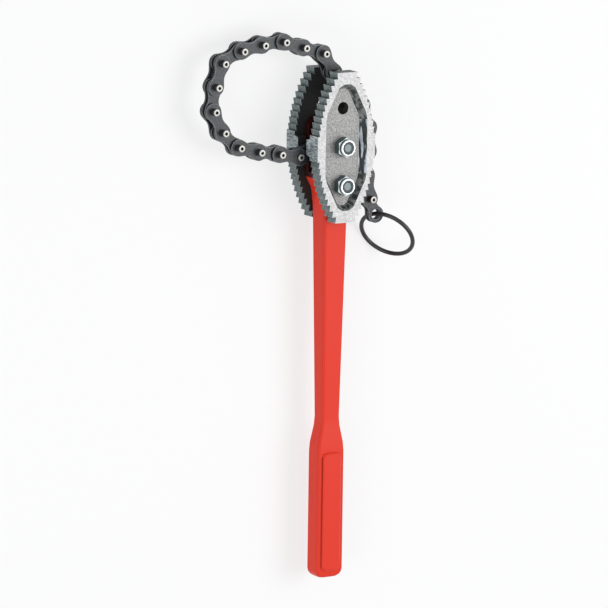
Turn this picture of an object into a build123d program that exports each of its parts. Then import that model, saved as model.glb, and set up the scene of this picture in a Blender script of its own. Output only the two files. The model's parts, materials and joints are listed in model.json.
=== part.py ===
"""Chain wrench with double-ended jaw plates, lying on its bolt heads' side.

The tool's middle plane is Z = 0. +Y runs along the handle to the head, +X runs across the jaws, and +Z
points out of the jaw plate that carries the nuts. The origin is on the axis of the jaws' spare bolt hole.
The chain is anchored at the middle bolt, leaves the jaws at -X, loops over their end, and comes back
down between them at +X, where its last link carries the pull ring.
"""
import os
from math import asin, atan, cos, degrees, pi, radians, sin, sqrt

from build123d import *

# Jaw plates
jaw_length = 158.0
jaw_width = 69.8
jaw_end_width = 24.8216
jaw_thickness = 16.0
jaw_gap = 31.0
notch_height = 27.0
tooth_count = 10
tooth_lean = 1.1
recess_depth = 8.0
recess_run = 5.5
recess_end_rim = 12.5
recess_end_width = 16.0
recess_side_rim = 9.7
recess_side_height = 65.0
recess_corner = 4.0
boss_rise = 7.0
boss_depth = 10.0
boss_height = 19.0
boss_wall_angle = 76

# Bolts and nuts
bolt_pitch = 40.5
bolt_diameter = 12.0
bolt_hole_diameter = 13.0
bolt_head_width = 18.0
bolt_head_height = 7.5
bolt_tip = 0.6
bolt_chamfer = 1.2
nut_width = 19.0
nut_hex_height = 8.6
nut_height = 12.0
nut_collar_diameter = 17.4
nut_collar_cut = 1.2
hex_corner_cut = 1.0
hex_sides = 6
round_sides = 20

# Handle
head_width = 48.0
head_top = 29.0
head_corner = 13.0
head_low = 27.0
shoulder_low = 52.0
pad_low = 50.0
neck_low = 68.0
shank_width_top = 29.2
shank_width_low = 21.4
shank_thickness_top = 25.6
shank_thickness_low = 18.4
shank_low = 290.0
grip_top = 327.0
grip_width = 32.3
grip_thickness = 21.6
grip_low = 462.6
grip_end_round = 9.0
grip_end_thin = 4.5
handle_edge = 3.2
swell_steps = 4
end_steps = 4
panel_rise = 2.8
panel_width = 22.4
panel_length = 127.0
panel_margin = 8.0
panel_corner = 3.5
panel_draft = 25
slot_width = 9.4
slot_low = 29.0
handle_hole_diameter = 12.5

# Chain
link_pitch = 25.4
plate_thickness = 2.5
plate_height = 18.0
plate_waist = 12.4
inner_gap = 3.6
layer_clearance = 0.2
pin_diameter = 7.5
pin_length = 27.0
short_pin_length = 18.0
plate_sides = 12
pin_sides = 10
bush_diameter = 10.6
running_clearance = 0.06
anchor_length = 42.2
anchor_heading = 195.0
anchor_eye_diameter = 25.0
anchor_hole_clearance = 0.1
link_headings = [
    169, 171, 165.5, 138.5, 117, 83.5, 73, 27, 11, 4, -17, -17, -56, -44, -49, -70, -90, -94, -81,
]
end_length = 19.3
end_heading = -63.0
end_eye_diameter = 18.4
end_hole_diameter = 11.0
eye_sides = 18

# Pull ring
ring_radius = 29.3
ring_sides = 36
ring_wire_diameter = 4.6
ring_wire_sides = 6
ring_tilt = 66.0
ring_facing = 220.0
ring_floor_clearance = 0.3

# Working values
cut_over = 2.0
middle_y = -bolt_pitch
lower_y = middle_y - bolt_pitch
half_length = jaw_length / 2
half_width = jaw_width / 2
flank_inset = half_width - jaw_end_width / 2
flank_radius = (half_length**2 + flank_inset**2) / (2 * flank_inset)
inner_face = jaw_gap / 2
outer_face = inner_face + jaw_thickness
web_face = outer_face - recess_depth
bolt_radius = bolt_diameter / 2
pin_radius = pin_diameter / 2
bush_radius = bush_diameter / 2
plate_end = plate_height / 2
inner_level = inner_gap / 2
outer_level = inner_level + plate_thickness + layer_clearance
bush_length = inner_gap + 2 * plate_thickness


def step(start, length, heading):
    """The point at a length from start, along a heading in degrees from +X."""
    return (start[0] + length * cos(radians(heading)), start[1] + length * sin(radians(heading)))


def level_plane(point, level, heading=0.0, facing=1):
    """A plane parallel to the jaws through a point, with its x axis along a heading."""
    turn = radians(heading)
    return Plane(
        origin=(point[0], point[1], level), x_dir=(cos(turn), sin(turn), 0), z_dir=(0, 0, facing)
    )


def save(part, name):
    """Label a finished sub-part and write it to its own file."""
    part.label = name
    export_step(part, f"parts/{name}.step")


os.makedirs("parts", exist_ok=True)


# Jaw plate with staircase teeth on both long edges
def flank(height):
    """Half the jaw's width across its tooth tips, at a height above its middle."""
    return half_width - flank_radius + sqrt(flank_radius**2 - height**2)


def tooth_edge():
    """The outline of one quarter of a jaw, from the notch to the end."""
    first = notch_height / 2
    pitch = (half_length - first) / tooth_count
    points = [(half_width, first)]
    for tooth in range(tooth_count):
        low = first + tooth * pitch
        tip = flank(low + pitch)
        points += [(tip - tooth_lean, low), (tip, low + pitch)]
    return points


quarter = tooth_edge()
right_side = [(x, -y) for x, y in reversed(quarter)] + quarter
left_side = [(-x, y) for x, y in reversed(right_side)]

with BuildPart() as nut_side_jaw:
    with BuildSketch(level_plane((0, middle_y), inner_face)):
        with BuildLine():
            Polyline(*right_side, *left_side, close=True)
        make_face()
    extrude(amount=jaw_thickness)
    rim = level_plane((0, middle_y), outer_face)
    with BuildSketch(rim) as recess:
        end_x, end_y = recess_end_width / 2, half_length - recess_end_rim
        side_x, side_y = half_width - recess_side_rim, recess_side_height / 2
        with BuildLine():
            Polyline(
                (end_x, end_y), (side_x, side_y), (side_x, -side_y), (end_x, -end_y),
                (-end_x, -end_y), (-side_x, -side_y), (-side_x, side_y), (-end_x, end_y),
                close=True,
            )
        make_face()
        chamfer(recess.vertices(), recess_corner)
    extrude(amount=-recess_depth, mode=Mode.SUBTRACT)
    walls = nut_side_jaw.faces(Select.LAST).filter_by(Plane.XY, reverse=True)
    draft(walls, neutral_plane=rim, angle=degrees(atan(recess_run / recess_depth)))
    for side in (1, -1):
        flank_middle = (side * half_width, middle_y, inner_face)
        with BuildSketch(Plane(origin=flank_middle, x_dir=(0, side, 0), z_dir=(-side, 0, 0))):
            Trapezoid(boss_height, boss_rise, boss_wall_angle, align=(Align.CENTER, Align.MIN))
        extrude(amount=boss_depth)
    with BuildSketch(level_plane((0, middle_y), inner_face - cut_over)):
        with GridLocations(0, bolt_pitch, 1, 3):
            Circle(bolt_hole_diameter / 2)
    extrude(amount=jaw_thickness + 2 * cut_over, mode=Mode.SUBTRACT)
save(nut_side_jaw.part, "nut_side_jaw")

with BuildPart() as head_side_jaw:
    mirror(nut_side_jaw.part, about=Plane.XY)
save(head_side_jaw.part, "head_side_jaw")

# Bolts with hexagon heads in the lower recess, and lock nuts in the upper one
with BuildPart() as jaw_bolts:
    for y in (middle_y, lower_y):
        with BuildSketch(level_plane((0, y), -web_face, facing=-1)):
            RegularPolygon(bolt_head_width / 2, hex_sides, major_radius=False)
        extrude(amount=bolt_head_height)
        with BuildSketch(level_plane((0, y), -web_face)):
            RegularPolygon(bolt_radius, round_sides)
        extrude(amount=2 * web_face + nut_height + bolt_tip)
    tips = jaw_bolts.faces().group_by(Axis.Z)[-1]
    chamfer(tips.edges(), bolt_chamfer)
    heads = jaw_bolts.faces().group_by(Axis.Z)[0]
    chamfer(heads.edges(), hex_corner_cut)
save(jaw_bolts.part, "jaw_bolts")

with BuildPart() as jaw_nuts:
    for y in (middle_y, lower_y):
        with BuildSketch(level_plane((0, y), web_face)):
            RegularPolygon(nut_width / 2, hex_sides, major_radius=False)
        extrude(amount=nut_hex_height)
        with BuildSketch(level_plane((0, y), web_face + nut_hex_height)):
            RegularPolygon(nut_collar_diameter / 2, round_sides)
        extrude(amount=nut_height - nut_hex_height)
    collars = jaw_nuts.faces().group_by(Axis.Z)[-1]
    chamfer(collars.edges(), nut_collar_cut)
    for y in (middle_y, lower_y):
        with BuildSketch(level_plane((0, y), web_face)):
            RegularPolygon(bolt_radius + running_clearance, round_sides, major_radius=False)
        extrude(amount=nut_height, mode=Mode.SUBTRACT)
save(jaw_nuts.part, "jaw_nuts")


# Forged handle: forked head, tapered shank and thick grip
def size_at(down, runs):
    """The handle's width or thickness at a distance below the middle bolt, from runs down its length."""
    for start, end, first, last, is_swell in runs:
        if down <= end:
            share = max(0, (down - start) / (end - start))
            if is_swell:
                share = (1 - cos(pi * share)) / 2
            return first + share * (last - first)
    return last


def even_steps(start, end, count):
    """Stations at equal steps down the handle."""
    return [start + (end - start) * number / count for number in range(count + 1)]


width_runs = [
    (head_low, shoulder_low, head_width, shank_width_top, True),
    (shoulder_low, shank_low, shank_width_top, shank_width_low, False),
    (shank_low, grip_top, shank_width_low, grip_width, True),
]
thickness_runs = [
    (pad_low, neck_low, jaw_gap, shank_thickness_top, True),
    (neck_low, shank_low, shank_thickness_top, shank_thickness_low, False),
    (shank_low, grip_top, shank_thickness_low, grip_thickness, True),
]
swell_stations = (
    even_steps(head_low, shoulder_low, swell_steps)
    + even_steps(pad_low, neck_low, swell_steps)
    + even_steps(shank_low, grip_top, swell_steps)
)
sections = [
    (down, size_at(down, width_runs), size_at(down, thickness_runs)) for down in sorted(swell_stations)
]
for number in range(end_steps + 1):
    turn = pi / 2 * number / end_steps
    cut_back, narrowing = 1 - cos(turn), 1 - sin(turn)
    head_section = (
        -head_top + head_corner * cut_back, head_width - 2 * head_corner * narrowing, jaw_gap
    )
    grip_section = (
        grip_low - grip_end_round * cut_back,
        grip_width - 2 * grip_end_round * narrowing,
        grip_thickness - 2 * grip_end_thin * narrowing,
    )
    sections += [head_section, grip_section]

grip_face = grip_thickness / 2
with BuildPart() as handle:
    for down, width, thickness in sorted(sections):
        with BuildSketch(Plane(origin=(0, middle_y - down, 0), x_dir=(1, 0, 0), z_dir=(0, -1, 0))):
            RectangleRounded(width, thickness, handle_edge)
    loft(ruled=True)
    panel_middle = grip_low - panel_margin - panel_length / 2
    for side in (1, -1):
        with BuildSketch(level_plane((0, middle_y - panel_middle), side * grip_face, facing=side)):
            RectangleRounded(panel_width, panel_length, panel_corner)
        extrude(amount=panel_rise, taper=panel_draft)
    slot_height = head_top + slot_low + cut_over
    with BuildSketch(level_plane((0, middle_y - slot_low + slot_height / 2), 0)):
        Rectangle(head_width + cut_over, slot_height)
    extrude(amount=slot_width / 2, both=True, mode=Mode.SUBTRACT)
    with BuildSketch(level_plane((0, (middle_y + lower_y) / 2), 0)):
        with GridLocations(0, bolt_pitch, 1, 2):
            Circle(handle_hole_diameter / 2)
    extrude(amount=inner_face + cut_over, both=True, mode=Mode.SUBTRACT)
save(handle.part, "handle")

# Places of the chain's pins, from the anchor bolt to the pull ring's eye
chain_places = [step((0, middle_y), anchor_length, anchor_heading)]
for heading in link_headings:
    chain_places.append(step(chain_places[-1], link_pitch, heading))
ring_eye = step(chain_places[-1], end_length, end_heading)

# Anchor link, a solid bar that turns on the middle bolt in the handle's fork
with BuildPart() as anchor_link:
    with BuildSketch(level_plane((0, middle_y), 0, anchor_heading)):
        RegularPolygon(anchor_eye_diameter / 2, round_sides)
        with Locations((anchor_length / 2, 0)):
            Rectangle(anchor_length, plate_height)
        with Locations((anchor_length, 0)):
            RegularPolygon(plate_end, plate_sides)
        hole_radius = bolt_radius + anchor_hole_clearance
        RegularPolygon(hole_radius, round_sides, major_radius=False, mode=Mode.SUBTRACT)
    extrude(amount=bush_length / 2, both=True)
    with BuildSketch(level_plane(chain_places[0], 0, anchor_heading)):
        RegularPolygon(pin_radius + running_clearance, pin_sides, major_radius=False)
    extrude(amount=bush_length / 2, both=True, mode=Mode.SUBTRACT)
save(anchor_link.part, "anchor_link")

# Chain links in turn: an outer link carries its two pins, an inner link its two bushes
for number, heading in enumerate(link_headings):
    start = chain_places[number]
    is_outer = number % 2 == 0
    level = outer_level if is_outer else inner_level
    with BuildPart() as chain_link:
        for side in (1, -1):
            with BuildSketch(level_plane(start, side * level, heading, facing=side)):
                with Locations((0, 0), (link_pitch, 0)):
                    RegularPolygon(plate_end, plate_sides)
                with Locations((link_pitch / 2, 0)):
                    Rectangle(link_pitch, plate_waist)
            extrude(amount=plate_thickness)
        if is_outer:
            first_length = pin_length if number else short_pin_length
            for reach, length in ((0, first_length), (link_pitch, pin_length)):
                with BuildSketch(level_plane(step(start, reach, heading), 0, heading)):
                    RegularPolygon(pin_radius, pin_sides)
                extrude(amount=length / 2, both=True)
        else:
            with BuildSketch(level_plane(start, 0, heading)):
                with Locations((0, 0), (link_pitch, 0)):
                    RegularPolygon(bush_radius, pin_sides)
            extrude(amount=inner_level, both=True)
            with BuildSketch(level_plane(start, 0, heading)):
                with Locations((0, 0), (link_pitch, 0)):
                    RegularPolygon(pin_radius + running_clearance, pin_sides, major_radius=False)
            extrude(amount=outer_level, both=True, mode=Mode.SUBTRACT)
    kind = "outer" if is_outer else "inner"
    save(chain_link.part, f"{kind}_link_{number // 2 + 1}")

# End link with an eye for the pull ring
with BuildPart() as end_link:
    for side in (1, -1):
        with BuildSketch(level_plane(chain_places[-1], side * inner_level, end_heading, facing=side)):
            RegularPolygon(plate_end, plate_sides)
            with Locations((end_length / 2, 0)):
                Rectangle(end_length, plate_waist)
            with Locations((end_length, 0)):
                RegularPolygon(end_eye_diameter / 2, eye_sides)
                RegularPolygon(end_hole_diameter / 2, eye_sides, mode=Mode.SUBTRACT)
        extrude(amount=plate_thickness)
    with BuildSketch(level_plane(chain_places[-1], 0, end_heading)):
        RegularPolygon(bush_radius, pin_sides)
    extrude(amount=inner_level, both=True)
    with BuildSketch(level_plane(chain_places[-1], 0, end_heading)):
        RegularPolygon(pin_radius + running_clearance, pin_sides, major_radius=False)
    extrude(amount=outer_level, both=True, mode=Mode.SUBTRACT)
save(end_link.part, "end_link")

# Pull ring, hanging from the eye until it nearly meets the table
tilt = radians(ring_tilt)
facing = radians(ring_facing)
ring_normal = Vector(sin(tilt) * cos(facing), sin(tilt) * sin(facing), cos(tilt))
level_way = Vector(-sin(facing), cos(facing), 0)
steep_way = level_way.cross(ring_normal)
ring_drop = outer_face - ring_wire_diameter / 2 - ring_floor_clearance
sag = asin(ring_drop / (ring_radius * sin(tilt)) - 1)
to_centre = level_way * cos(sag) + steep_way * sin(sag)
eye_point = Vector(ring_eye[0], ring_eye[1], 0)
ring_centre = eye_point + to_centre * ring_radius
with BuildPart() as pull_ring:
    with BuildLine(Plane(origin=ring_centre, x_dir=-to_centre, z_dir=ring_normal)) as ring_line:
        corners = [
            step((0, 0), ring_radius, 360 * (number + 0.5) / ring_sides) for number in range(ring_sides)
        ]
        Polyline(*corners, close=True)
    with BuildSketch(Plane(origin=ring_line.line @ 0, z_dir=ring_line.line % 0)):
        RegularPolygon(ring_wire_diameter / 2, ring_wire_sides)
    sweep(path=ring_line.line, transition=Transition.RIGHT)
save(pull_ring.part, "pull_ring")
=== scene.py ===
"""Chain wrench lying on one of its jaw plates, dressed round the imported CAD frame.

Lengths are in metres in the frame's own axes: +Y runs along the handle to the head, +X across the jaw
plates and +Z out of the plate with the nuts.
"""

import json
from math import atan2, cos, pi, radians, sin, tan

import bmesh
import bpy
from mathutils import Matrix, Vector

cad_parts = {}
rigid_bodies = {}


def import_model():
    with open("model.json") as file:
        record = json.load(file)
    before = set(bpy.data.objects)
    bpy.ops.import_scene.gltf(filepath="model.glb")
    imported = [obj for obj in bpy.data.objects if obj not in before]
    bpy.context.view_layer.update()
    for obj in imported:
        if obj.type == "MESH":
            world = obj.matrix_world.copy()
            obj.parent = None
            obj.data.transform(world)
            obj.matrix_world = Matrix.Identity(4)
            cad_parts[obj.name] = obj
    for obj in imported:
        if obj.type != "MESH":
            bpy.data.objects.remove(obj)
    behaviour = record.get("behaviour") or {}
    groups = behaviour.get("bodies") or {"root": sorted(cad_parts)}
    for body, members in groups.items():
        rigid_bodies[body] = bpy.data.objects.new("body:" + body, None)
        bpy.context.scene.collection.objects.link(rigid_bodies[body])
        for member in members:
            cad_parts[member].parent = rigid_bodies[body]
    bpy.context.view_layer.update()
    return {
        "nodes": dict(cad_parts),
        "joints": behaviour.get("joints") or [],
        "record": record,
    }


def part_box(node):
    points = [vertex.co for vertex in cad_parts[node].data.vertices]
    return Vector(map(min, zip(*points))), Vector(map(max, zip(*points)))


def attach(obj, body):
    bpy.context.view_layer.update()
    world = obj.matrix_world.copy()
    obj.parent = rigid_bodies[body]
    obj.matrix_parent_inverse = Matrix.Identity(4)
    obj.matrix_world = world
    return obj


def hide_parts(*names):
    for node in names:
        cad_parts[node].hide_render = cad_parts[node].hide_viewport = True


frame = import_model()
mm = 0.001

# Handle
# One steel forging: a forked head between the jaw plates, a flat tapering shank, and a thicker grip with
# a raised panel on each face. It is painted bright red. Its head between the plates and the wide sides of
# its shoulder just below are painted near black, as painted shade.
paint_red = (0.75, 0.047, 0.026, 1)
# The dark red below is painted shade on the head between the plates and on the shoulder's wide sides.
shaded_head_red = (0.030, 0.005, 0.004, 1)
paint_roughness = 0.36
paint_gloss = 0.12
paint_ripple = 6 * mm
ripple_deep = 0.15 * mm
ripple_strength = 0.12
head_shade_from, head_shade_full = 33 * mm, 28 * mm
side_shade_low, side_shade_low_fade = 60 * mm, 1 * mm
side_shade_from, side_shade_full = 21 * mm, 22.4 * mm
panel_wide, panel_long = 22.4 * mm, 127 * mm
panel_corner = 6 * mm
panel_slope = 1.5 * mm
panel_sunk = 0.2 * mm
panel_corner_steps = 10
forging_edge_round = 0.7 * mm
forging_edge_angle = radians(20)
grip_from = 320 * mm
grain_detail = 4
sharp_angle = radians(28)
weld_gap = 0.002 * mm
joined_angle = radians(0.3)
level_slack = 0.5 * mm


def finish_material(name, colour, metallic, roughness):
    """A plain finish, and its shader for more to be added."""
    material = bpy.data.materials.new(name)
    material.use_nodes = True
    shader = material.node_tree.nodes["Principled BSDF"]
    shader.inputs["Base Color"].default_value = colour
    shader.inputs["Metallic"].default_value = metallic
    shader.inputs["Roughness"].default_value = roughness
    return material, shader


def grain(material, shader, size, deep, strength, stretch=(1, 1, 1)):
    """A fine uneven surface on a finish, drawn out along an axis where stretch is under 1."""
    nodes, links = material.node_tree.nodes, material.node_tree.links
    place = nodes.new("ShaderNodeTexCoord")
    spread = nodes.new("ShaderNodeMapping")
    spread.inputs["Scale"].default_value = stretch
    noise = nodes.new("ShaderNodeTexNoise")
    noise.inputs["Scale"].default_value = 1 / size
    noise.inputs["Detail"].default_value = grain_detail
    bump = nodes.new("ShaderNodeBump")
    bump.inputs["Distance"].default_value = deep
    bump.inputs["Strength"].default_value = strength
    links.new(place.outputs["Object"], spread.inputs["Vector"])
    links.new(spread.outputs["Vector"], noise.inputs["Vector"])
    links.new(noise.outputs["Fac"], bump.inputs["Height"])
    links.new(bump.outputs["Normal"], shader.inputs["Normal"])
    return noise.outputs["Fac"]


def two_colours(material, shader, factor, first, second):
    """Blends the finish's colour from first to second by a factor."""
    links = material.node_tree.links
    mix = material.node_tree.nodes.new("ShaderNodeMix")
    mix.data_type = "RGBA"
    links.new(factor, mix.inputs["Factor"])
    mix.inputs["A"].default_value = first
    mix.inputs["B"].default_value = second
    links.new(mix.outputs["Result"], shader.inputs["Base Color"])


def ramp_over(material, value, start, end):
    """A smooth 0 to 1 as a value goes from start to end."""
    ramp = material.node_tree.nodes.new("ShaderNodeMapRange")
    ramp.interpolation_type = "SMOOTHSTEP"
    material.node_tree.links.new(value, ramp.inputs["Value"])
    ramp.inputs["From Min"].default_value = start
    ramp.inputs["From Max"].default_value = end
    return ramp.outputs["Result"]


def arithmetic(tree, operation, *values):
    """One step of arithmetic between values of a node tree."""
    step = tree.nodes.new("ShaderNodeMath")
    step.operation = operation
    for value, socket in zip(values, step.inputs):
        tree.links.new(value, socket)
    return step.outputs["Value"]


def merged_mesh(node):
    """A copy of a CAD node's mesh with its doubles merged and its flat faces joined."""
    bm = bmesh.new()
    bm.from_mesh(frame["nodes"][node].data)
    bmesh.ops.remove_doubles(bm, verts=bm.verts, dist=weld_gap)
    bmesh.ops.dissolve_limit(bm, angle_limit=joined_angle, verts=bm.verts, edges=bm.edges)
    return bm


def add_in(bm, part, move):
    """Adds a part to a bmesh at a place, and frees the part."""
    mesh = bpy.data.meshes.new("part")
    part.to_mesh(mesh)
    part.free()
    mesh.transform(move)
    bm.from_mesh(mesh)
    bpy.data.meshes.remove(mesh)


def stand_in(bm, name, finishes, *nodes):
    """The finished piece of a bmesh, riding on the body of the CAD nodes that it replaces."""
    mesh = bpy.data.meshes.new(name)
    bm.to_mesh(mesh)
    bm.free()
    for finish in finishes:
        mesh.materials.append(finish)
    mesh.shade_smooth()
    mesh.set_sharp_from_angle(angle=sharp_angle)
    piece = bpy.data.objects.new(name, mesh)
    bpy.context.scene.collection.objects.link(piece)
    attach(piece, body_names[nodes[0]])
    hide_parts(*nodes)
    return piece


def level_faces(piece):
    """Keeps a piece's flat faces flat to the eye beside its small rounded edges."""
    level = piece.modifiers.new("flat faces", "WEIGHTED_NORMAL")
    level.keep_sharp = True


def soften(piece, width, angle):
    """Small rounded edges on a piece, where its faces meet at more than an angle."""
    bevel = piece.modifiers.new("rounded edges", "BEVEL")
    bevel.width = width
    bevel.segments = 2
    bevel.limit_method = "ANGLE"
    bevel.angle_limit = angle
    bevel.use_clamp_overlap = True
    level_faces(piece)


def panel_outline(panel, level, drawn_in):
    """Adds a flat face of a panel at a level, with round corners, all of it drawn in by a distance."""
    corners = bmesh.ops.create_grid(panel, x_segments=1, y_segments=1, size=0.5)["verts"]
    bmesh.ops.scale(
        panel, verts=corners, vec=(panel_wide - 2 * drawn_in, panel_long - 2 * drawn_in, 1)
    )
    bmesh.ops.translate(panel, verts=corners, vec=(0, 0, level))
    bmesh.ops.bevel(
        panel, geom=corners, offset=panel_corner - drawn_in, segments=panel_corner_steps,
        affect="VERTICES", profile=0.5, material=-1,
    )


def raised_panel(height):
    """A panel standing on z = 0, with walls that lean in from its foot to its face."""
    panel = bmesh.new()
    panel_outline(panel, level=0, drawn_in=0)
    panel_outline(panel, level=height, drawn_in=panel_slope)
    bmesh.ops.bridge_loops(panel, edges=panel.edges[:])
    bmesh.ops.recalc_face_normals(panel, faces=panel.faces)
    return panel


def round_panels(bm):
    """The grip's raised panels made again with the rounder corners of the real forging."""
    grip = [vert for vert in bm.verts if vert.co.y < bolt_y - grip_from]
    panel_face = max(vert.co.z for vert in grip)
    raised = [vert for vert in grip if abs(vert.co.z) > panel_face - level_slack]
    grip_face = max(vert.co.z for vert in grip if vert not in raised)
    places = [vert.co.y for vert in raised]
    middle = (max(places) + min(places)) / 2
    bmesh.ops.delete(bm, geom=raised, context="VERTS")
    bmesh.ops.holes_fill(bm, edges=[edge for edge in bm.edges if edge.is_boundary], sides=0)
    foot = grip_face - panel_sunk
    for turn in (0, pi):
        outward = Matrix.Rotation(turn, 4, "Y") @ Matrix.Translation((0, 0, foot))
        add_in(bm, raised_panel(panel_face - foot), Matrix.Translation((0, middle, 0)) @ outward)
    return bm


bolt_y = next(joint["pos_m"][1] for joint in frame["joints"] if joint["child"] == "anchor")
body_names = {
    node: body for body, nodes in frame["record"]["behaviour"]["bodies"].items() for node in nodes
}

red_paint, red_shader = finish_material("red paint", paint_red, metallic=0, roughness=paint_roughness)
red_shader.inputs["Specular IOR Level"].default_value = paint_gloss
grain(red_paint, red_shader, paint_ripple, ripple_deep, ripple_strength)
red_tree = red_paint.node_tree
red_place = red_tree.nodes.new("ShaderNodeTexCoord")
red_spot = red_tree.nodes.new("ShaderNodeSeparateXYZ")
red_tree.links.new(red_place.outputs["Object"], red_spot.inputs["Vector"])
# Painted shade: dark up the head from just below the bolt, and on the shoulder's sides wider than the
# shank.
along = red_spot.outputs["Y"]
out = arithmetic(red_tree, "ABSOLUTE", red_spot.outputs["X"])
at_edge = ramp_over(red_paint, out, side_shade_from, side_shade_full)
at_boss = ramp_over(red_paint, along, bolt_y - side_shade_low, bolt_y - side_shade_low + side_shade_low_fade)
at_head = ramp_over(red_paint, along, bolt_y - head_shade_from, bolt_y - head_shade_full)
head_shade_mask = arithmetic(red_tree, "MAXIMUM", arithmetic(red_tree, "MULTIPLY", at_edge, at_boss), at_head)
two_colours(red_paint, red_shader, head_shade_mask, paint_red, shaded_head_red)

handle = stand_in(round_panels(merged_mesh("handle")), "painted_handle", [red_paint], "handle")
soften(handle, forging_edge_round, forging_edge_angle)

# Jaw plates
# Two hard cast plates with staircase teeth down both long edges. The rims are ground bright, the recesses
# keep their cast skin, and the inner faces, bores and notch hollows are painted black as painted shade.
# The recess walls, tooth ledges and worn edges carry painted shade and painted highlights. They are
# clamped to the head by the bolts.
rim_bright = (0.68, 0.675, 0.68, 1)
rim_fleck = (0.42, 0.415, 0.42, 1)
cast_light = (0.39, 0.385, 0.38, 1)
cast_dark = (0.19, 0.19, 0.185, 1)
# Painted highlight and shade: bright bluish and near-black streaks on the recess's long walls.
wall_highlight = (0.66, 0.72, 0.78, 1)
wall_shade = (0.016, 0.022, 0.022, 1)
# Painted shade: the slanting end walls of the recess are darker than its floor.
slant_shade_light = (0.22, 0.23, 0.22, 1)
slant_shade_dark = (0.020, 0.026, 0.025, 1)
# Painted highlight along the worn edges of the plates.
edge_highlight = (0.60, 0.63, 0.62, 1)
tooth_light = (0.22, 0.27, 0.27, 1)
tooth_dark = (0.10, 0.13, 0.13, 1)
# Painted shade: the ledges between teeth, facing along the plate, are near black.
ledge_shade_grey = (0.035, 0.045, 0.043, 1)
flank_light = (0.52, 0.58, 0.60, 1)
flank_dark = (0.15, 0.19, 0.20, 1)
# Painted shade: near black for the inner faces, bores and notch hollows between the plates.
inner_shade_black = (0.012, 0.012, 0.012, 1)
spot_deep = 0.1 * mm
spot_strength = 0.5
jaw_edge_round = 0.3 * mm
highlight_angle = radians(25)
recess_deep = 9 * mm
notch_half = 14 * mm
flank_out = 25 * mm
bore_reach = 7 * mm
square_share = 0.99
facing_share = 0.9
tooth_share = 0.7
leaning_share = 0.3
upright_share = 0.1


def mottled(name, light, dark, metallic, roughness, spots, contrast, stretch=(1, 1, 1)):
    """A finish that varies in spots between two colours, its surface rising and sinking with them."""
    material, shader = finish_material(name, light, metallic, roughness)
    noise = grain(material, shader, spots, spot_deep, spot_strength, stretch)
    lightness = ramp_over(material, noise, 0.5 - contrast, 0.5 + contrast)
    two_colours(material, shader, lightness, dark, light)
    return material


ground_rim = mottled(
    "ground rim", rim_bright, rim_fleck, metallic=0.1, roughness=0.5, spots=1.7 * mm, contrast=0.24
)
cast_skin = mottled(
    "cast skin", cast_light, cast_dark, metallic=0.2, roughness=0.55, spots=1.7 * mm, contrast=0.2
)
# The long recess walls get streaks of painted highlight and painted shade.
recess_wall_sheen = mottled(
    "recess wall", wall_highlight, wall_shade, metallic=0.3, roughness=0.35, spots=12 * mm, contrast=0.05,
    stretch=(5.5, 0.5, 1),
)
slant_wall_shade = mottled(
    "slanting recess wall painted shade", slant_shade_light, slant_shade_dark, metallic=0.2, roughness=0.45, spots=5 * mm,
    contrast=0.12,
)
tooth_steel = mottled(
    "tooth steel", tooth_light, tooth_dark, metallic=0.2, roughness=0.45, spots=3 * mm, contrast=0.2
)
worn_flank = mottled(
    "worn flank", flank_light, flank_dark, metallic=0.3, roughness=0.4, spots=1.6 * mm, contrast=0.14,
    stretch=(1, 1, 0.3),
)
tooth_ledge_shade = finish_material("tooth ledge painted shade", ledge_shade_grey, metallic=0.2, roughness=0.5)[0]
inner_painted_shade = finish_material("inner face painted shade", inner_shade_black, metallic=0, roughness=0.7)[0]
jaw_edge_highlight = finish_material("worn jaw edge with painted highlight", edge_highlight, metallic=0.2, roughness=0.4)[0]
jaw_finishes = [
    ground_rim, cast_skin, recess_wall_sheen, slant_wall_shade, tooth_steel, worn_flank, tooth_ledge_shade, inner_painted_shade,
    jaw_edge_highlight,
]


def jaw_finish(face, rim_level):
    """Which finish a face of a jaw plate has, by where it is and how far it looks along each axis."""
    middle = face.calc_center_median()
    across, along, up = (abs(share) for share in face.normal)
    depth = rim_level - abs(middle.z)
    level_face = up > facing_share
    if level_face and depth < level_slack:
        return ground_rim
    if level_face and depth < recess_deep:
        return cast_skin
    if up > leaning_share and depth < recess_deep:
        return recess_wall_sheen if along < upright_share else slant_wall_shade
    # Inner faces, bores and the notch's hollows get the painted shade.
    if level_face or abs(middle.x) < bore_reach and along < square_share:
        return inner_painted_shade
    if abs(middle.y - bolt_y) < notch_half:
        return worn_flank if across > facing_share and abs(middle.x) > flank_out else inner_painted_shade
    # Faces that look along the plate get the painted shade of the ledges.
    return tooth_steel if across > tooth_share else tooth_ledge_shade


def jaw(node, name):
    """A jaw plate, its finishes laid on face by face and its outer worn edges given a painted highlight.
    """
    low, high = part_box(node)
    rim_level = max(abs(low.z), abs(high.z))
    bm = merged_mesh(node)
    bm.normal_update()
    for face in bm.faces:
        face.material_index = jaw_finishes.index(jaw_finish(face, rim_level))
    unworn = jaw_finishes.index(inner_painted_shade)
    # Edges beside the painted inner shade get no highlight.
    worn = [
        edge for edge in bm.edges
        if edge.calc_face_angle(0) > highlight_angle
        and all(face.material_index != unworn for face in edge.link_faces)
    ]
    bmesh.ops.bevel(
        bm, geom=worn, offset=jaw_edge_round, segments=2, affect="EDGES", profile=0.5,
        clamp_overlap=True, material=jaw_finishes.index(jaw_edge_highlight),
    )
    piece = stand_in(bm, name, jaw_finishes, node)
    level_faces(piece)


jaw("nut_side_jaw", "plate_with_nuts")
jaw("head_side_jaw", "plate_with_heads")

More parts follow.
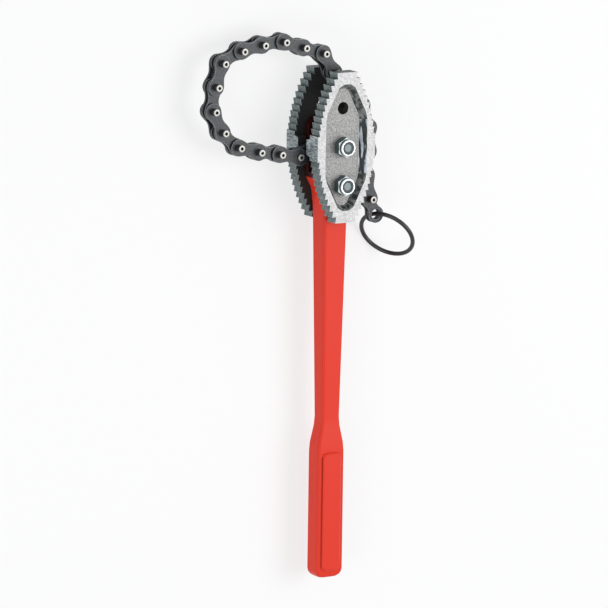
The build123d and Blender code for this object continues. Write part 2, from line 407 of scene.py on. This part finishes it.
# Bolts and lock nuts
# Two zinc-plated bolts pass through both plates and the head. Their hexagon heads sit in the far recess,
# and each nut on the near side has a round collar with a plastic ring in it that grips the bolt's end.
# The sides are painted dark as painted shade, the collars' rounded tops and lids bright as a painted
# highlight, and the sunk ring and the bolts' chamfered ends near black as painted shade.
# Painted highlight on the bright zinc, painted shade on the sides.
zinc = (0.74, 0.80, 0.82, 1)
zinc_shaded_side = (0.085, 0.12, 0.12, 1)
bolt_end = (0.13, 0.17, 0.18, 1)
# Painted shade: near black in the nut's sunk ring and round the bolt's chamfered end.
ring_shade_dark = (0.02, 0.025, 0.025, 1)
round_segments = 72
nut_flat = 9.5 * mm
nut_hex_high = 9 * mm
collar_proud = 0.6 * mm
collar_radius = 8.7 * mm
collar_round = 1.2 * mm
collar_round_steps = 5
collar_hole = 6.8 * mm
insert_drop = 1.6 * mm
head_flat = 9 * mm
head_high = 7.5 * mm
bolt_radius = 6 * mm
bolt_drop = 1.4 * mm
bolt_tip = 1.9 * mm
chamfer_share = 0.04
chamfer_slope = tan(radians(30))
hexagon_turn = pi / 3
zinc_edge_round = 0.25 * mm
zinc_edge_angle = radians(35)
turned_in_share = 0.2

zinc_highlight = finish_material("zinc painted highlight", zinc, metallic=0.5, roughness=0.3)[0]
zinc_shade = finish_material("zinc painted shade", zinc_shaded_side, metallic=0.5, roughness=0.3)[0]
end_zinc = finish_material("bolt end", bolt_end, metallic=0.3, roughness=0.4)[0]
lock_ring_shade = finish_material("lock ring painted shade", ring_shade_dark, metallic=0, roughness=0.5)[0]
zinc_finishes = [zinc_shade, lock_ring_shade, zinc_highlight, end_zinc]


def round_bar(bm, radius, length, segments, middle=0):
    """Adds a plain round bar along Z."""
    bar = bmesh.ops.create_cone(
        bm, cap_ends=True, segments=segments, radius1=radius, radius2=radius, depth=length
    )
    bmesh.ops.translate(bm, verts=bar["verts"], vec=(0, 0, middle))
    bm.normal_update()


def end_faces(bm, level):
    """The faces that look up at a level or above it."""
    return [
        face for face in bm.faces
        if face.normal.z > facing_share and face.calc_center_median().z > level - level_slack
    ]


def hexagon(flat, height, chamfered_low):
    """A hexagon block standing on z = 0, its corners cut back by a cone as a nut's are."""
    bm = bmesh.new()
    round_bar(bm, flat, height, round_segments, height / 2)
    inner = set()
    for cap in [face for face in bm.faces if abs(face.normal.z) > facing_share]:
        bmesh.ops.inset_region(bm, faces=[cap], thickness=flat * chamfer_share)
        inner.update(cap.verts)
    for vert in bm.verts:
        if vert in inner:
            continue
        turn = atan2(vert.co.y, vert.co.x)
        from_flat = (turn + hexagon_turn / 2) % hexagon_turn - hexagon_turn / 2
        reach = flat / cos(from_flat)
        vert.co.x, vert.co.y = reach * cos(turn), reach * sin(turn)
        drop = (reach - flat * (1 - chamfer_share)) * chamfer_slope
        if vert.co.z > height / 2:
            vert.co.z -= drop
        elif chamfered_low:
            vert.co.z += drop
    return bm


def lock_nut(low, high):
    """A lock nut: hexagon, round collar turned in at its top, and the ring inside it."""
    nut = hexagon(nut_flat, nut_hex_high, chamfered_low=True)
    top = high - low + collar_proud
    round_bar(nut, collar_radius, top - nut_hex_high, round_segments, (top + nut_hex_high) / 2)
    bmesh.ops.bevel(
        nut, geom=list(end_faces(nut, top)[0].edges), offset=collar_round,
        segments=collar_round_steps, affect="EDGES", profile=0.5, material=-1,
    )
    nut.normal_update()
    # Upward-leaning faces get the painted highlight.
    for face in nut.faces:
        if turned_in_share < face.normal.z < square_share:
            face.material_index = zinc_finishes.index(zinc_highlight)
    lid = max(end_faces(nut, top), key=lambda face: face.calc_area())
    lid.material_index = zinc_finishes.index(zinc_highlight)
    bmesh.ops.inset_region(nut, faces=[lid], thickness=collar_radius - collar_round - collar_hole)
    sunk = bmesh.ops.extrude_discrete_faces(nut, faces=[lid])["faces"][0]
    bmesh.ops.translate(nut, verts=list(sunk.verts), vec=(0, 0, -insert_drop))
    sunk.material_index = zinc_finishes.index(lock_ring_shade)
    bmesh.ops.translate(nut, verts=nut.verts, vec=(0, 0, low))
    return nut


def bolt(low, high):
    """A bolt: hexagon head below, plain shank, and a chamfered end."""
    whole = hexagon(head_flat, head_high, chamfered_low=False)
    bmesh.ops.rotate(whole, verts=whole.verts, matrix=Matrix.Rotation(pi, 3, "X"))
    bmesh.ops.translate(whole, verts=whole.verts, vec=(0, 0, low + head_high))
    top = high - bolt_drop
    length = top - low - head_high
    round_bar(whole, bolt_radius, length, round_segments, top - length / 2)
    tip = end_faces(whole, top)[0]
    tip.material_index = zinc_finishes.index(end_zinc)
    # The chamfer takes the painted shade of the ring.
    bmesh.ops.bevel(
        whole, geom=list(tip.edges), offset=bolt_tip, segments=1, affect="EDGES", profile=0.5,
        material=zinc_finishes.index(lock_ring_shade),
    )
    return whole


def at_both_bolts(node, name, make, half_width):
    """One piece of a CAD node's two solids, made again where each of them is."""
    low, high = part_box(node)
    bm = bmesh.new()
    for y in (low.y + half_width, high.y - half_width):
        add_in(bm, make(low.z, high.z), Matrix.Translation(((high.x + low.x) / 2, y, 0)))
    piece = stand_in(bm, name, zinc_finishes, node)
    soften(piece, zinc_edge_round, zinc_edge_angle)


at_both_bolts("jaw_nuts", "lock_nuts", lock_nut, nut_flat)
at_both_bolts("jaw_bolts", "zinc_bolts", bolt, head_flat)

# Chain
# Pressed steel plates, blackened by heat treatment, in pairs. Outer plates are riveted on the pins, whose
# drilled ends stand proud for the jaws' lugs, and inner plates on the bushes that turn on the pins.
plate_light = (0.033, 0.037, 0.042, 1)
plate_dark = (0.013, 0.015, 0.018, 1)
# Painted highlight along the worn plate edges.
edge_highlight_grey = (0.17, 0.175, 0.18, 1)
pin_side_grey = (0.045, 0.046, 0.048, 1)
pin_end_bright = (0.36, 0.35, 0.33, 1)
# Painted shade: near black inside the pins' drilled holes.
pin_hole_shade = (0.012, 0.012, 0.012, 1)
plate_thick = 2.5 * mm
plate_end = 9 * mm
plate_waist = 6.1 * mm
plate_edge = 0.4 * mm
plate_rim_angle = radians(60)
plate_segments = 56
waist_cuts = 11
inner_level = 1.8 * mm
outer_level = 4.5 * mm
bush_radius = 5.3 * mm
pin_radius = 3.75 * mm
pin_bore = 3.81 * mm
pin_segments = 36
pin_hole = 1.8 * mm
pin_hole_deep = 1.8 * mm
pin_edge = 0.55 * mm
forked_pin_share = 2 / 3
jaw_reach = 52 * mm

black_plate = mottled(
    "blackened plate", plate_light, plate_dark, metallic=0.3, roughness=0.42, spots=2.2 * mm,
    contrast=0.2,
)
pin_side = finish_material("pin side", pin_side_grey, metallic=0.4, roughness=0.35)[0]
pin_end = finish_material("bright pin end", pin_end_bright, metallic=0.4, roughness=0.35)[0]
drilled_hole_shade = finish_material("drilled hole painted shade", pin_hole_shade, metallic=0, roughness=0.8)[0]
worn_edge_highlight = finish_material("worn plate edge with painted highlight", edge_highlight_grey, metallic=0.4, roughness=0.35)[0]
chain_finishes = [black_plate, pin_side, pin_end, drilled_hole_shade, worn_edge_highlight]


def ring_of(bm, radius, x, segments):
    """An open circle of edges on the plane z = 0, centred on the x axis."""
    made = bmesh.ops.create_circle(bm, cap_ends=False, radius=radius, segments=segments)
    bmesh.ops.rotate(bm, verts=made["verts"], matrix=Matrix.Rotation(pi / segments, 3, "Z"))
    bmesh.ops.translate(bm, verts=made["verts"], vec=(x, 0, 0))
    return made["verts"]


def link_plate(length, ends, holes, thick, waist):
    """A plate with two round ends, a drawn-in waist and a hole at each end, standing on z = 0."""
    bm = bmesh.new()
    for vert in ring_of(bm, 1, 0, plate_segments):
        far = vert.co.x > 0
        vert.co = vert.co * ends[1 if far else 0]
        if far:
            vert.co.x += length
    long_edges = [edge for edge in bm.edges if edge.calc_length() > length / 2]
    bmesh.ops.subdivide_edges(bm, edges=long_edges, cuts=waist_cuts)
    for vert in bm.verts:
        share = vert.co.x / length
        if 0 < share < 1 and abs(vert.co.y) > waist:
            draw_in = (abs(vert.co.y) - waist) * sin(pi * share) ** 2
            vert.co.y -= draw_in if vert.co.y > 0 else -draw_in
    for x, hole in zip((0, length), holes):
        if hole:
            ring_of(bm, hole, x, pin_segments)
    bmesh.ops.triangle_fill(bm, use_beauty=True, use_dissolve=False, edges=bm.edges)
    raised = bmesh.ops.extrude_face_region(bm, geom=bm.faces[:])["geom"]
    raised_verts = [item for item in raised if isinstance(item, bmesh.types.BMVert)]
    bmesh.ops.translate(bm, verts=raised_verts, vec=(0, 0, thick))
    bmesh.ops.recalc_face_normals(bm, faces=bm.faces)
    rim = [edge for edge in bm.edges if edge.calc_face_angle(0) > plate_rim_angle]
    bmesh.ops.bevel(
        bm, geom=rim, offset=plate_edge, segments=2, affect="EDGES", profile=0.5,
        material=chain_finishes.index(worn_edge_highlight),
    )
    return bm


def bush():
    """The bush between two inner plates."""
    bm = bmesh.new()
    round_bar(bm, bush_radius, 2 * inner_level, pin_segments)
    return bm


def drilled_pin(length, end_finish):
    """A pin across z = 0 with rounded ends that are drilled."""
    bm = bmesh.new()
    round_bar(bm, pin_radius, length, pin_segments)
    for face in bm.faces:
        face.material_index = chain_finishes.index(pin_side)
    caps = [face for face in bm.faces if abs(face.normal.z) > facing_share]
    rim = list({edge for face in caps for edge in face.edges})
    bmesh.ops.bevel(
        bm, geom=rim, offset=pin_edge, segments=2, affect="EDGES", profile=0.5,
        material=chain_finishes.index(end_finish),
    )
    bm.normal_update()
    for cap in [face for face in bm.faces if abs(face.normal.z) > square_share]:
        way = cap.normal.z
        cap.material_index = chain_finishes.index(end_finish)
        bmesh.ops.inset_region(bm, faces=[cap], thickness=pin_radius - pin_edge - pin_hole)
        bottom = bmesh.ops.extrude_discrete_faces(bm, faces=[cap])["faces"][0]
        bmesh.ops.translate(bm, verts=list(bottom.verts), vec=(0, 0, -way * pin_hole_deep))
        for edge in bottom.edges:
            for face in edge.link_faces:
                face.material_index = chain_finishes.index(drilled_hole_shade)
    return bm


def plate_pair(bm, length, ends, holes, level):
    """Two like plates, one each side of the chain's middle plane."""
    for lift in (level, -level - plate_thick):
        plate = link_plate(length, ends, holes, plate_thick, plate_waist)
        add_in(bm, plate, Matrix.Translation((0, 0, lift)))


first_hinge = {joint["child"]: Vector(joint["pos_m"]) for joint in frame["joints"]}
next_hinge = {joint["parent"]: Vector(joint["pos_m"]) for joint in frame["joints"]}


def link_run(node):
    """The way from a link's first hinge to its next."""
    return next_hinge[body_names[node]] - first_hinge[body_names[node]]


def link_place(node):
    """Where a link lies: its first hinge as the origin, and its own x axis towards the next."""
    run = link_run(node)
    turn = Matrix.Rotation(atan2(run.y, run.x), 4, "Z")
    return Matrix.Translation(first_hinge[body_names[node]]) @ turn


def lay_link(bm, node):
    """Moves a finished link into place and makes it a piece of the chain."""
    bm.transform(link_place(node))
    piece = stand_in(bm, "black_" + node, chain_finishes, node)
    level_faces(piece)


for node in sorted(node for node in body_names if node.startswith("outer_link")):
    pitch = link_run(node).length
    low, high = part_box(node)
    full_length = high.z - low.z
    first_length = full_length * forked_pin_share if node == "outer_link_1" else full_length
    link = bmesh.new()
    plate_pair(link, pitch, (plate_end, plate_end), (0, 0), outer_level)
    for x, length in ((0, first_length), (pitch, full_length)):
        spot = link_place(node) @ Vector((x, 0, 0))
        # Pin ends between the jaw plates take the dark side finish as painted shade.
        in_jaw_shade = spot.x > 0 and abs(spot.y - bolt_y) < jaw_reach
        pin = drilled_pin(length, pin_side if in_jaw_shade else pin_end)
        add_in(link, pin, Matrix.Translation((x, 0, 0)))
    lay_link(link, node)

for node in sorted(node for node in body_names if node.startswith("inner_link")):
    pitch = link_run(node).length
    link = bmesh.new()
    plate_pair(link, pitch, (plate_end, plate_end), (pin_bore, pin_bore), inner_level)
    for x in (0, pitch):
        add_in(link, bush(), Matrix.Translation((x, 0, 0)))
    lay_link(link, node)

# Anchor link and end link
# The anchor is one thick bar that turns on the middle bolt inside the handle's fork. The end link is a
# pair of short inner plates with a wide eye for the pull ring.
anchor_eye = 12.5 * mm
end_eye = 9.2 * mm
end_eye_hole = 5.45 * mm

anchor_low, anchor_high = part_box("anchor_link")
anchor_thick = anchor_high.z - anchor_low.z
anchor = link_plate(
    link_run("anchor_link").length, (anchor_eye, plate_end), (bolt_radius, pin_bore), anchor_thick,
    waist=plate_end,
)
bmesh.ops.translate(anchor, verts=anchor.verts, vec=(0, 0, -anchor_thick / 2))
lay_link(anchor, "anchor_link")

end_piece = bmesh.new()
plate_pair(
    end_piece, link_run("end_link").length, (plate_end, end_eye), (pin_bore, end_eye_hole), inner_level
)
add_in(end_piece, bush(), Matrix.Identity(4))
lay_link(end_piece, "end_link")

# Pull ring
# A ring of thick black wire, its ends welded, that hangs in the end link's eye. A finger or a hook in it
# pulls the chain tight.
ring_black = (0.018, 0.018, 0.020, 1)
ring_radius = 29.3 * mm
ring_wire = 2.3 * mm
ring_tilt = radians(66)
ring_facing = radians(220)
ring_steps = 128
wire_segments = 24

black_wire = finish_material("black wire", ring_black, metallic=0.2, roughness=0.32)[0]
ring_low, ring_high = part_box("pull_ring")
ring = bmesh.new()
wire = bmesh.ops.create_circle(ring, cap_ends=False, radius=ring_wire, segments=wire_segments)
bmesh.ops.rotate(ring, verts=wire["verts"], matrix=Matrix.Rotation(pi / 2, 3, "X"))
bmesh.ops.translate(ring, verts=wire["verts"], vec=(ring_radius, 0, 0))
bmesh.ops.spin(
    ring, geom=ring.verts[:] + ring.edges[:], cent=(0, 0, 0), axis=(0, 0, 1), angle=2 * pi,
    steps=ring_steps, use_merge=True, use_duplicate=False,
)
bmesh.ops.remove_doubles(ring, verts=ring.verts, dist=weld_gap)
bmesh.ops.recalc_face_normals(ring, faces=ring.faces)
lean = Matrix.Rotation(ring_facing, 4, "Z") @ Matrix.Rotation(ring_tilt, 4, "Y")
ring.transform(Matrix.Translation((ring_low + ring_high) / 2) @ lean)
pull_ring = stand_in(ring, "black_pull_ring", [black_wire], "pull_ring")

# Table, light and camera
# A plain white table under the tool, one large soft lamp at its right and a smaller one at its left,
# and a long lens at the height and turn of the photograph.
table_half = 12
table_white = (0.86, 0.86, 0.86, 1)
table_glow_share = 0.72
white_light = (1, 1, 1, 1)
sky_grey = (0.55, 0.56, 0.57, 1)
sky_strength = 0.85
turn_left, rise, roll = radians(31.4), radians(10.4), radians(0.8)
frame_width = 0.6346
camera_away = 6
camera_reach = 100
aim_left, aim_down = 0.0279, 0.1674
sensor = 36


def background_rays(tree):
    """1 for rays that show the white background: straight ones, mirrored ones and those through glass."""
    path = tree.nodes.new("ShaderNodeLightPath")
    rays = path.outputs["Is Camera Ray"]
    for kind in ("Is Glossy Ray", "Is Transmission Ray"):
        rays = arithmetic(tree, "MAXIMUM", rays, path.outputs[kind])
    return rays


floor_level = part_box("head_side_jaw")[0].z
table = bpy.data.meshes.new("table")
table_bm = bmesh.new()
bmesh.ops.create_grid(table_bm, x_segments=1, y_segments=1, size=table_half)
bmesh.ops.translate(table_bm, verts=table_bm.verts, vec=(0, 0, floor_level))
table_bm.to_mesh(table)
table_bm.free()
table_top = bpy.data.objects.new("table", table)
bpy.context.scene.collection.objects.link(table_top)
white, white_shader = finish_material("white table", table_white, metallic=0, roughness=0.7)
white_tree = white.node_tree
glow = white_tree.nodes.new("ShaderNodeEmission")
glow.inputs["Color"].default_value = white_light
glow_share = white_tree.nodes.new("ShaderNodeMath")
glow_share.operation = "MULTIPLY"
glow_share.inputs[1].default_value = table_glow_share
table_look = white_tree.nodes.new("ShaderNodeMixShader")
white_tree.links.new(background_rays(white_tree), glow_share.inputs[0])
white_tree.links.new(glow_share.outputs["Value"], table_look.inputs["Fac"])
white_tree.links.new(white_shader.outputs["BSDF"], table_look.inputs[1])
white_tree.links.new(glow.outputs["Emission"], table_look.inputs[2])
white_tree.links.new(table_look.outputs["Shader"], white_tree.nodes["Material Output"].inputs["Surface"])
table.materials.append(white)

world = bpy.data.worlds.new("studio")
world.use_nodes = True
bpy.context.scene.world = world
sky_tree = world.node_tree
sky = sky_tree.nodes["Background"]
sky.inputs["Color"].default_value = sky_grey
sky.inputs["Strength"].default_value = sky_strength
backdrop = sky_tree.nodes.new("ShaderNodeBackground")
backdrop.inputs["Color"].default_value = white_light
sky_look = sky_tree.nodes.new("ShaderNodeMixShader")
sky_tree.links.new(background_rays(sky_tree), sky_look.inputs["Fac"])
sky_tree.links.new(sky.outputs["Background"], sky_look.inputs[1])
sky_tree.links.new(backdrop.outputs["Background"], sky_look.inputs[2])
sky_tree.links.new(sky_look.outputs["Shader"], sky_tree.nodes["World Output"].inputs["Surface"])

middle_bolt = Vector((0, bolt_y, 0))


def lamp(name, place, size, power):
    """A square soft lamp that looks at the head of the tool."""
    light = bpy.data.lights.new(name, "AREA")
    light.size = size
    light.energy = power
    holder = bpy.data.objects.new(name, light)
    holder.location = place
    holder.rotation_euler = (middle_bolt - Vector(place)).to_track_quat("-Z", "Y").to_euler()
    bpy.context.scene.collection.objects.link(holder)


lamp("right lamp", place=(1.1, 0.0, 1.9), size=1.4, power=28.5)
lamp("left lamp", place=(-1.6, -0.6, 1.2), size=0.9, power=10.5)

to_camera = Vector((-sin(turn_left) * cos(rise), sin(rise), cos(turn_left) * cos(rise)))
flat_right = Vector((cos(turn_left), 0, sin(turn_left)))
flat_up = to_camera.cross(flat_right)
right = flat_right * cos(roll) + flat_up * sin(roll)
up = flat_up * cos(roll) - flat_right * sin(roll)
aim = middle_bolt - right * aim_left - up * aim_down
camera_data = bpy.data.cameras.new("camera")
camera_data.sensor_width = sensor
camera_data.lens = sensor * camera_away / frame_width
camera_data.clip_end = camera_reach
camera = bpy.data.objects.new("camera", camera_data)
bpy.context.scene.collection.objects.link(camera)
camera.matrix_world = Matrix.Translation(aim + to_camera * camera_away) @ (
    Matrix((right, up, to_camera)).transposed().to_4x4()
)
bpy.context.scene.camera = camera
bpy.context.scene.view_settings.view_transform = "Standard"
